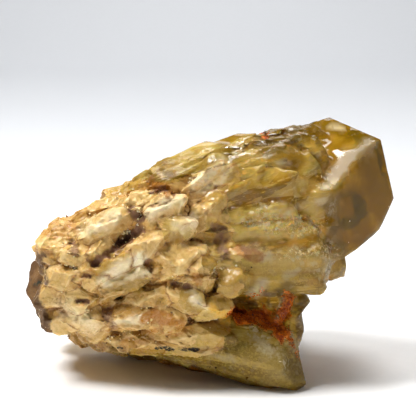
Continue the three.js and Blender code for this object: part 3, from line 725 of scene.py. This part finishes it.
def veil_rings(dice, middle, along, side, lift, turn):
    """The places of one crinkled veil, in rings round its middle."""
    long_half, wide_half = dice.uniform(2, 9) * MM, dice.uniform(0.6, 2.6) * MM
    wobble = dice.uniform(0.65, 1.2, VEIL_SPOKES)
    rings = []
    for ring in range(1, VEIL_RINGS + 1):
        row = []
        for spoke in range(VEIL_SPOKES):
            angle = 2 * math.pi * spoke / VEIL_SPOKES
            out = ring / VEIL_RINGS * wobble[spoke]
            bend = 0.25 * MM * math.sin(5 * out + turn) + dice.normal() * 0.06 * MM
            ahead = long_half * out * math.cos(angle)
            aside = wide_half * out * math.sin(angle)
            row.append(middle + along * ahead + side * aside + lift * bend)
        rings.append(row)
    return rings


def add_veil(bm, middle, rings, lift):
    """One veil as two skins that meet at its outline."""
    for way in (1, -1):
        shift = lift * way * VEIL_HALF_THICKNESS
        hub = bm.verts.new(middle + shift)
        grid = [[bm.verts.new(point + shift) for point in row] for row in rings[:-1]]
        grid.append([bm.verts.new(point) for point in rings[-1]])
        for spoke in range(VEIL_SPOKES):
            after = (spoke + 1) % VEIL_SPOKES
            bm.faces.new((hub, grid[0][spoke], grid[0][after])[::way])
            for inner, outer in zip(grid, grid[1:]):
                bm.faces.new((inner[spoke], outer[spoke], outer[after], inner[after])[::way])


def healed_cracks(tree, skin, material):
    """Thin crinkled veils inside the clear crystals, along the fan, as one mesh."""
    dice = np.random.default_rng(7)
    mesh = skin.data
    clear = [p.index for p in mesh.polygons if p.material_index == CLEAR and p.center.y < 6 * MM]
    root = seen(*FAN_ROOT, 0)
    bm = bmesh.new()
    made = 0
    for pick in dice.permutation(len(clear)):
        if made == VEILS:
            break
        face = mesh.polygons[clear[pick]]
        share = float(sheath_share(np.array([face.center]))[0])
        if dice.random() > 0.25 + 0.75 * share:
            continue
        middle = face.center - face.normal * dice.uniform(0.9, 6) * MM
        along = (middle - root).normalized()
        side = along.cross(Vector(dice.normal(size=3))).normalized()
        lift = along.cross(side)
        rings = veil_rings(dice, middle, along, side, lift, made)
        if all(well_inside(tree, point, 0.35 * MM) for point in rings[-1] + [middle]):
            made += 1
            add_veil(bm, middle, rings, lift)
    bmesh.ops.remove_doubles(bm, verts=bm.verts, dist=1e-7)
    bmesh.ops.recalc_face_normals(bm, faces=bm.faces)
    piece = piece_from(bm, "healed_cracks")
    piece.data.materials.append(material)
    piece.data.shade_smooth()
    return piece


def well_inside(tree, point, depth):
    """Whether a point lies at least so deep under the skin."""
    near, normal, _, distance = tree.find_nearest(point)
    return distance > depth and (point - near).dot(normal) < 0


def weathered_rock():
    """The scrap of host rock: rounded, then roughened."""
    bm = finely_cut(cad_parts["host_rock"], lambda places: np.full(len(places), ROCK_EDGE))
    piece = piece_from(bm, "rock_scrap")
    mesh = piece.data
    ends, count = edges_of(mesh)
    worn = vertices_of(mesh)
    for _ in range(3):
        worn += 0.5 * (mean_of_neighbours(worn, ends, count) - worn)
    set_vertices(mesh, worn)
    rough = 0.5 * ripple(worn, 4 * MM, 21) + 0.35 * ripple(worn, 1.8 * MM, 22)
    rough += 0.15 * ripple(worn, 0.9 * MM, 23)
    worn += normals_of(mesh) * ((rough - 0.35) * 0.8 * MM)[:, None]
    set_vertices(mesh, worn)
    mesh.attributes.remove(mesh.attributes["flat"])
    mesh.shade_smooth()
    mesh.set_sharp_from_angle(angle=SHARP_ROCK)
    return piece


# Materials.


def new_material(name):
    material = bpy.data.materials.new(name)
    material.use_nodes = True
    w = Wiring(material.node_tree)
    return material, w, w.nodes["Principled BSDF"]


def new_group(name, takes, gives):
    """A shader node group, all of whose inputs and outputs but Colour and Place are numbers."""
    kinds = {"Colour": "NodeSocketColor", "Place": "NodeSocketVector"}
    group = bpy.data.node_groups.new(name, "ShaderNodeTree")
    for way, labels in (("INPUT", takes), ("OUTPUT", gives)):
        for label in labels:
            kind = kinds.get(label, "NodeSocketFloat")
            socket = group.interface.new_socket(label, in_out=way, socket_type=kind)
            if way == "INPUT":
                socket.default_value = takes[label]
    w = Wiring(group)
    return group, w, w.add("NodeGroupInput").outputs, w.add("NodeGroupOutput")


def place_group(w, group, **values):
    return w.wire(w.add("ShaderNodeGroup", node_tree=group), **values).outputs


def stain_group():
    """Lays the cluster's stains over a colour: ochre, rust, umber and soot, broken up by fine noise, with
    painted shade on the underside, under a blade and in the deepest hollows.
    """
    takes = {"Colour": (0.7, 0.5, 0.3, 1), "Hollow Rust": 0.8}
    group, w, taken, given = new_group("mineral stains", takes, ("Colour", "Dirt"))
    fine = w.noise(420, 6, 0.7, 0.3)
    dots = w.noise(1100, 3, 0.6)
    broad = w.noise(170, 4, 0.6, 0.4)
    hollow = w.attribute("hollow")
    amount = taken["Hollow Rust"]

    seam = w.times(w.times(w.attribute("seam"), w.spread(broad, 0.3, 0.6, 0.35, 1)), amount)
    grime = w.times(w.times(w.spread(hollow, 0.3, 0.85), amount), w.spread(broad, 0.3, 0.62))
    # deep is a mask of painted shade in the deepest hollows.
    deep = w.times(w.spread(hollow, 0.66, 1), amount)
    result = w.layered(
        taken["Colour"],
        (w.times(seam, 0.9, clamp=True), (0.42, 0.175, 0.026)),
        (w.times(w.spread(seam, 0.45, 0.95), w.spread(fine, 0.35, 0.6, 0.3, 0.9)), (0.15, 0.055, 0.01)),
        (w.times(grime, 0.85, clamp=True), (0.34, 0.15, 0.026)),
        (w.times(deep, 0.8, clamp=True), (0.085, 0.034, 0.012)),
    )
    dirt = w.larger(grime, deep)
    for name, stain, low, high in PAINTS:
        painted = w.attribute(name)
        grain = dots if name == "soot" else fine
        broken = w.plus(painted, w.times(w.math("SUBTRACT", grain, 0.5), 1.6))
        mask = w.times(w.spread(broken, low, high), w.spread(painted, 0.02, 0.2))
        result = w.blend(mask, result, stain)
        if name not in ("ochre_and_shade", "yellow"):
            dirt = w.larger(dirt, mask)
    # Painted shade: near-black in the deepest hollows.
    pit_shade = w.times(w.spread(hollow, 0.78, 1), w.spread(broad, 0.4, 0.6))
    w.wire(given, Colour=w.blend(w.times(pit_shade, 0.8), result, (0.035, 0.012, 0.005)), Dirt=dirt)
    return group


def relief_group():
    """Heights of sugary grain and fine pits, less hairline cracks, and a mask of those cracks."""
    takes = {"Grain Height": 0.5, "Crack Height": 0.5}
    group, w, taken, given = new_group("quartz relief", takes, ("Height", "Cracks"))
    place = w.object_place()
    sugar = w.wire(w.add("ShaderNodeTexVoronoi", "sugar grain", feature="F1"), Scale=900, Vector=place)
    grain = w.plus(w.times(sugar.outputs["Distance"], -0.5), w.noise(420, 6, 0.7, 0.3, place))
    bend = w.wire(w.add("ShaderNodeTexNoise", "crack bend"), Scale=90, Vector=place)
    small = w.wire(w.add("ShaderNodeVectorMath", operation="SCALE"), Scale=0.012)
    w.feed(small.inputs[0], bend.outputs["Color"])
    cells = w.add("ShaderNodeTexVoronoi", "cracks", feature="DISTANCE_TO_EDGE")
    w.wire(cells, Scale=120, Vector=w.vector("ADD", place, small.outputs[0])[0])
    cracks = w.spread(cells.outputs["Distance"], 0, 0.035, 1, 0)
    cracks = w.times(cracks, w.spread(w.noise(60, 2, place=place), 0.45, 0.6))
    cut = w.times(cracks, taken["Crack Height"])
    w.wire(given, Height=w.math("SUBTRACT", w.times(grain, taken["Grain Height"]), cut), Cracks=cracks)
    return group


def flats_group():
    """A surface broken into small tilted flats, as quartz is: its heights, and a tone for each flat."""
    takes = {"Place": (0, 0, 0), "Scale": 300}
    group, w, taken, given = new_group("broken flats", takes, ("Height", "Tone"))
    cells = w.add("ShaderNodeTexVoronoi", "flats", feature="F1")
    w.wire(cells, Vector=taken["Place"], Scale=taken["Scale"])
    arm = w.vector("SUBTRACT", taken["Place"], cells.outputs["Position"])[0]
    tilt = w.vector("SUBTRACT", cells.outputs["Color"], (0.5, 0.5, 0.5))[0]
    rise = w.vector("DOT_PRODUCT", arm, tilt)["Value"]
    parts = w.add("ShaderNodeSeparateXYZ")
    w.feed(parts.inputs[0], cells.outputs["Color"])
    w.wire(given, Height=w.times(rise, taken["Scale"]), Tone=parts.outputs["Z"])
    return group


def bumped(w, shader, height, distance, strength=1):
    """Bends the shader's normal by a height; the distance is that of a height of one, in metres."""
    bump = w.wire(w.add("ShaderNodeBump"), Strength=strength, Distance=distance, Height=height)
    w.wire(shader, Normal=bump.outputs["Normal"])


def finish_broken(w, shader, stained, gloss, bumps, coarse, small, distance):
    """Gloss, shine and relief of broken quartz; coarse and small are the heights of its flats."""
    w.wire(shader, Base_Color=stained["Colour"], Roughness=gloss, IOR=QUARTZ_IOR)
    w.wire(shader, Specular_IOR_Level=QUARTZ_SHINE)
    bumped(w, shader, w.plus(w.plus(coarse, small), bumps["Height"]), distance, 0.9)


def cream_quartz(stains, relief, flats):
    """Sugary cream quartz: small broken flats and hairline cracks, tinted with ochre."""
    material, w, shader = new_material("cream quartz")
    place = w.object_place()
    fine = w.noise(520, 5, 0.6)
    tone = w.attribute("tone")
    bumps = place_group(w, relief, Grain_Height=0.07, Crack_Height=0.04)
    base = w.layered(
        w.blend(w.spread(w.noise(50, 4, 0.6, 0.5), 0.34, 0.68), (0.66, 0.405, 0.11), (0.55, 0.29, 0.055)),
        (w.spread(tone, 0.5, 0.9, 0, 0.55), (0.8, 0.55, 0.2)),
        (w.spread(tone, 0.35, 0.05, 0, 0.45), (0.46, 0.29, 0.085)),
        (w.spread(fine, 0.5, 0.75, 0, 0.4), (0.84, 0.61, 0.25)),
        (w.spread(w.noise(90, 4, 0.65, 0.8), 0.55, 0.72, 0, 0.65), (0.52, 0.25, 0.045)),
        (w.times(w.attribute("ridge"), 0.45), (0.92, 0.73, 0.37)),
        # Painted light: paler where the surface lies open.
        (w.spread(w.attribute("hollow"), 0.3, 0.06, 0, 0.25), (0.84, 0.6, 0.25)),
        (w.times(w.attribute("pale"), 0.9), (0.98, 0.88, 0.6)),
        (w.times(bumps["Cracks"], 0.3), (0.42, 0.19, 0.04)),
    )
    stained = place_group(w, stains, Colour=base, Hollow_Rust=1)
    gloss = w.plus(w.spread(fine, 0.35, 0.65, 0.18, 0.5), w.times(stained["Dirt"], 0.3))
    w.wire(shader, Subsurface_Weight=0.25, Subsurface_Radius=(1, 0.55, 0.2), Subsurface_Scale=1.1 * MM)
    coarse = place_group(w, flats, Place=place, Scale=330)["Height"]
    small = w.times(place_group(w, flats, Place=place, Scale=800)["Height"], 0.4)
    finish_broken(w, shader, stained, gloss, bumps, coarse, small, 1.5 * MM)
    return material


def cloudy_quartz(stains, relief, flats):
    """Cloudy quartz between the cream and the clear: each flat has a tone of its own."""
    material, w, shader = new_material("cloudy quartz")
    fine = w.noise(600, 5, 0.6)
    tone = w.attribute("tone")
    bumps = place_group(w, relief, Grain_Height=0.03, Crack_Height=0.03)
    base = w.layered(
        w.blend(w.spread(w.noise(70, 4, 0.6, 0.6), 0.35, 0.65), (0.56, 0.35, 0.085), (0.44, 0.25, 0.04)),
        (w.spread(tone, 0.5, 0.95, 0, 0.6), (0.68, 0.48, 0.14)),
        (w.spread(tone, 0.3, 0.05, 0, 0.5), (0.34, 0.21, 0.04)),
        (w.times(w.attribute("pale"), 0.85), (0.93, 0.79, 0.5)),
        (w.times(bumps["Cracks"], 0.2), (0.34, 0.16, 0.03)),
    )
    stained = place_group(w, stains, Colour=base, Hollow_Rust=0.9)
    gloss = w.plus(w.spread(fine, 0.4, 0.7, 0.22, 0.45), w.times(stained["Dirt"], 0.4))
    w.wire(shader, Subsurface_Weight=0.4, Subsurface_Radius=(1, 0.65, 0.2), Subsurface_Scale=1.5 * MM)
    coarse = place_group(w, flats, Place=w.attribute("fan", "Vector"), Scale=300)["Height"]
    small = w.times(place_group(w, flats, Place=w.object_place(), Scale=700)["Height"], 0.3)
    finish_broken(w, shader, stained, gloss, bumps, coarse, small, 1.3 * MM)
    return material


def clear_citrine(stains, flats):
    """See-through smoky-yellow quartz, milky and streaked along the crystals, tinted by its depth."""
    material, w, shader = new_material("clear citrine")
    fan = w.attribute("fan", "Vector")
    streaks = w.noise(950, 5, 0.65, 0.5, fan)
    bands = w.noise(170, 5, 0.65, 0.8, fan)
    clouds = w.noise(75, 4, 0.6, 0.6)
    speckle = w.noise(900, 4, 0.7)
    sheath, lobe, frost, painted_reflection = (w.attribute(name) for name in ("sheath", "lobe", "frost", "painted_reflection"))
    long_flats = place_group(w, flats, Place=fan, Scale=260)
    small_flats = place_group(w, flats, Place=w.object_place(), Scale=620)
    streaked = w.times(sheath, w.spread(lobe, 0.1, 0.9, 1, 0.12))
    frosted = w.times(frost, w.spread(speckle, 0.45, 0.6))
    glints = w.times(w.spread(small_flats["Tone"], 0.8, 0.9), sheath)
    base = w.layered(
        w.blend(w.spread(clouds, 0.32, 0.66), (0.35, 0.193, 0.003), (0.57, 0.355, 0.025)),
        (w.spread(bands, 0.5, 0.7, 0, 0.35), (0.36, 0.2, 0.012)),
        (w.times(w.spread(streaks, 0.46, 0.36, 0, 0.7), streaked), (0.2, 0.105, 0.006)),
        (w.times(w.attribute("ridge"), 0.15), (0.84, 0.68, 0.34)),
        (w.times(w.spread(long_flats["Tone"], 0.55, 0.95, 0, 0.6), sheath), (0.9, 0.62, 0.12)),
        (w.times(w.spread(long_flats["Tone"], 0.4, 0.05, 0, 0.5), sheath), (0.25, 0.135, 0.008)),
        (w.times(lobe, w.spread(speckle, 0.51, 0.6, 0, 0.75)), (0.9, 0.64, 0.1)),
        (w.times(lobe, w.spread(speckle, 0.47, 0.36, 0, 0.65)), (0.26, 0.14, 0.012)),
        (w.times(w.attribute("haze"), w.spread(clouds, 0.3, 0.6, 0.7, 1)), (1, 0.74, 0.18)),
        (w.times(w.spread(streaks, 0.53, 0.62, 0, 0.9), streaked), (0.94, 0.7, 0.18)),
        (w.times(w.attribute("smoke"), w.spread(clouds, 0.3, 0.7, 1, 0.95)), (0.215, 0.122, 0)),
        # Painted reflection: a lamp's light painted on a face of the point.
        (w.times(painted_reflection, 0.9), (0.5, 0.39, 0.2)),
        (w.times(glints, w.plus(frost, 0.12), clamp=True), (1, 0.86, 0.46)),
        (w.times(frosted, 0.6), (0.98, 0.88, 0.56)),
        (w.times(w.attribute("pale"), 0.9), (0.96, 0.84, 0.5)),
    )
    stained = place_group(w, stains, Colour=base, Hollow_Rust=0.45)
    haze = w.larger(w.times(frosted, 0.4), w.times(stained["Dirt"], 0.5))
    haze = w.larger(haze, w.times(w.spread(bands, 0.5, 0.72, 0.02, 0.2), sheath))
    haze = w.larger(w.larger(haze, w.times(painted_reflection, 0.4)), w.times(lobe, 0.1))
    w.wire(shader, Base_Color=stained["Colour"], Roughness=w.plus(haze, 0.03, clamp=True), IOR=QUARTZ_IOR,
           Specular_IOR_Level=CLEAR_SHINE, Transmission_Weight=0.55, Subsurface_Weight=0.35,
           Subsurface_Radius=(1, 0.65, 0.2), Subsurface_Scale=2 * MM)
    height = w.plus(w.times(streaks, 0.12), long_flats["Height"])
    height = w.plus(height, w.times(small_flats["Height"], w.plus(w.times(frost, 0.8), 0.35)))
    height = w.times(height, w.spread(streaked, 0, 1, 0.02, 1))
    height = w.plus(height, w.times(speckle, w.times(lobe, 0.5)))
    bumped(w, shader, height, 1.2 * MM, 1)
    absorb = w.wire(w.add("ShaderNodeVolumeAbsorption"), Color=(0.8, 0.6, 0.02, 1), Density=55)
    w.wire(w.nodes["Material Output"], Volume=absorb.outputs["Volume"])
    return material


def veil():
    material, w, shader = new_material("healed crack")
    fine = w.noise(1300, 4, 0.6)
    tone = w.blend(w.spread(fine, 0.35, 0.65), (0.9, 0.68, 0.26), (1, 0.88, 0.52))
    w.wire(shader, Base_Color=tone, Alpha=w.spread(fine, 0.36, 0.62, 0.1, 0.85), Roughness=0.35)
    return material


def iron_crust():
    material, w, shader = new_material("iron crust")
    fine = w.noise(800, 4, 0.6)
    tone = w.blend(w.spread(fine, 0.35, 0.65), (0.76, 0.185, 0.004), (0.2, 0.022, 0.002))
    w.wire(shader, Base_Color=tone, Roughness=w.spread(fine, 0.3, 0.7, 0.55, 0.9), Specular_IOR_Level=0.1)
    bumped(w, shader, fine, 0.2 * MM, 0.8)
    return material


def sugar_quartz():
    material, w, shader = new_material("sugary quartz")
    tone = w.blend(w.spread(w.noise(130, 3, 0.6), 0.35, 0.65), (0.9, 0.78, 0.5), (0.72, 0.5, 0.2))
    w.wire(shader, Base_Color=tone, Roughness=w.spread(w.noise(900, 3), 0.4, 0.6, 0.08, 0.3))
    w.wire(shader, IOR=QUARTZ_IOR, Specular_IOR_Level=QUARTZ_SHINE)
    w.wire(shader, Subsurface_Weight=0.5, Subsurface_Radius=(1, 0.75, 0.4), Subsurface_Scale=1.2 * MM)
    return material


def fleck_quartz():
    material, w, shader = new_material("chipped flecks")
    tone = w.blend(w.spread(w.noise(260, 3, 0.6), 0.35, 0.65), (0.8, 0.66, 0.34), (1, 0.93, 0.7))
    gloss = w.spread(w.noise(900, 3), 0.4, 0.6, 0.05, 0.25)
    w.wire(shader, Base_Color=tone, Roughness=gloss, IOR=QUARTZ_IOR)
    return material


def brown_rock():
    material, w, shader = new_material("host rock")
    broad = w.noise(120, 5, 0.6, 0.5)
    fine = w.noise(900, 5, 0.65)
    base = w.layered(
        w.blend(w.spread(broad, 0.35, 0.65), (0.11, 0.052, 0.018), (0.22, 0.115, 0.042)),
        (w.spread(w.noise(210, 3, 0.5), 0.58, 0.7), (0.04, 0.042, 0.028)),
        (w.spread(fine, 0.58, 0.78, 0, 0.6), (0.3, 0.19, 0.09)),
    )
    w.wire(shader, Base_Color=base, Roughness=w.spread(fine, 0.3, 0.7, 0.55, 0.9), Specular_IOR_Level=0.2)
    bumped(w, shader, w.plus(fine, broad), 0.5 * MM, 0.9)
    return material


def stage_material():
    """White paper with painted shade that turns it a darker grey-blue towards the back, with a faint
    grain.
    """
    material, w, shader = new_material("backdrop")
    place = w.add("ShaderNodeSeparateXYZ")
    w.feed(place.inputs[0], w.object_place())
    # Painted shade: the paper darkens to grey-blue towards the back.
    tone = w.blend(w.spread(place.outputs["Y"], 0.16, 0.46), (0.94, 0.935, 0.925), (0.79, 0.805, 0.83))
    grain = w.spread(w.noise(240, 4, 0.6), 0.3, 0.7, 0, 0.05)
    w.wire(shader, Base_Color=w.blend(grain, tone, (0.6, 0.6, 0.6)), Roughness=0.8)
    return material


# The stage, then everything in order.


def backdrop():
    """A pale floor that rises in a wide curve to a pale wall."""
    bm = bmesh.new()
    profile = [(STAGE_FRONT, 0)]
    for step in range(17):
        angle = math.radians(90 * step / 16)
        back = STAGE_WALL - STAGE_CURVE + STAGE_CURVE * math.sin(angle)
        profile.append((back, STAGE_CURVE - STAGE_CURVE * math.cos(angle)))
    profile.append((STAGE_WALL, STAGE_TOP))
    sides = (-STAGE_HALF_WIDTH, STAGE_HALF_WIDTH)
    left, right = [[bm.verts.new((side, y, z)) for y, z in profile] for side in sides]
    for n in range(len(profile) - 1):
        bm.faces.new((left[n], right[n], right[n + 1], left[n + 1]))
    floor = piece_from(bm, "backdrop")
    floor.data.shade_smooth()
    floor.data.materials.append(stage_material())


def lamp(name, place, aim, watts, width):
    data = bpy.data.lights.new(name, "AREA")
    data.energy, data.size = watts, width
    light = new_object(name, data)
    light.location = place
    light.rotation_mode = "QUATERNION"
    light.rotation_quaternion = (Vector(aim) - Vector(place)).to_track_quat("-Z", "Y")


def lights_and_camera():
    scene = bpy.context.scene
    scene.view_settings.view_transform = "Standard"
    scene.world = bpy.data.worlds.new("studio")
    scene.world.use_nodes = True
    sky = scene.world.node_tree.nodes["Background"]
    sky.inputs["Color"].default_value = (0.93, 0.96, 1, 1)
    sky.inputs["Strength"].default_value = SKY_STRENGTH
    for one in LAMPS:
        lamp(*one)

    camera_data = bpy.data.cameras.new("camera")
    camera_data.sensor_width = SENSOR_WIDTH
    camera_data.lens = SENSOR_WIDTH * EYE_DISTANCE / EYE_PLANE_WIDTH
    camera = new_object("camera", camera_data)
    camera.location = EYE
    camera.rotation_euler = (math.radians(90) - EYE_ANGLE, 0, 0)
    scene.camera = camera


def build():
    stains, relief, flats = stain_group(), relief_group(), flats_group()
    crystals = weathered_crystals()
    crystals.data.materials.clear()
    crystals.data.materials.append(clear_citrine(stains, flats))
    crystals.data.materials.append(cloudy_quartz(stains, relief, flats))
    crystals.data.materials.append(cream_quartz(stains, relief, flats))
    tree = paint_crystals(crystals)
    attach(crystals, "root")
    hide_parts("citrine_crystals")

    druse = grains_over(crystals, "druse", sugar_quartz(), *DRUSE)
    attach(druse, "root")
    flecks = grains_over(crystals, "chipped_flecks", fleck_quartz(), *FLECKS)
    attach(flecks, "root")
    crust = grains_over(crystals, "iron_crust", iron_crust(), *CRUST)
    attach(crust, "root")
    cracks = healed_cracks(tree, crystals, veil())
    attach(cracks, "root")

    rock = weathered_rock()
    rock.data.materials.clear()
    rock.data.materials.append(brown_rock())
    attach(rock, "root")
    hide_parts("host_rock")

    backdrop()
    lights_and_camera()


build()
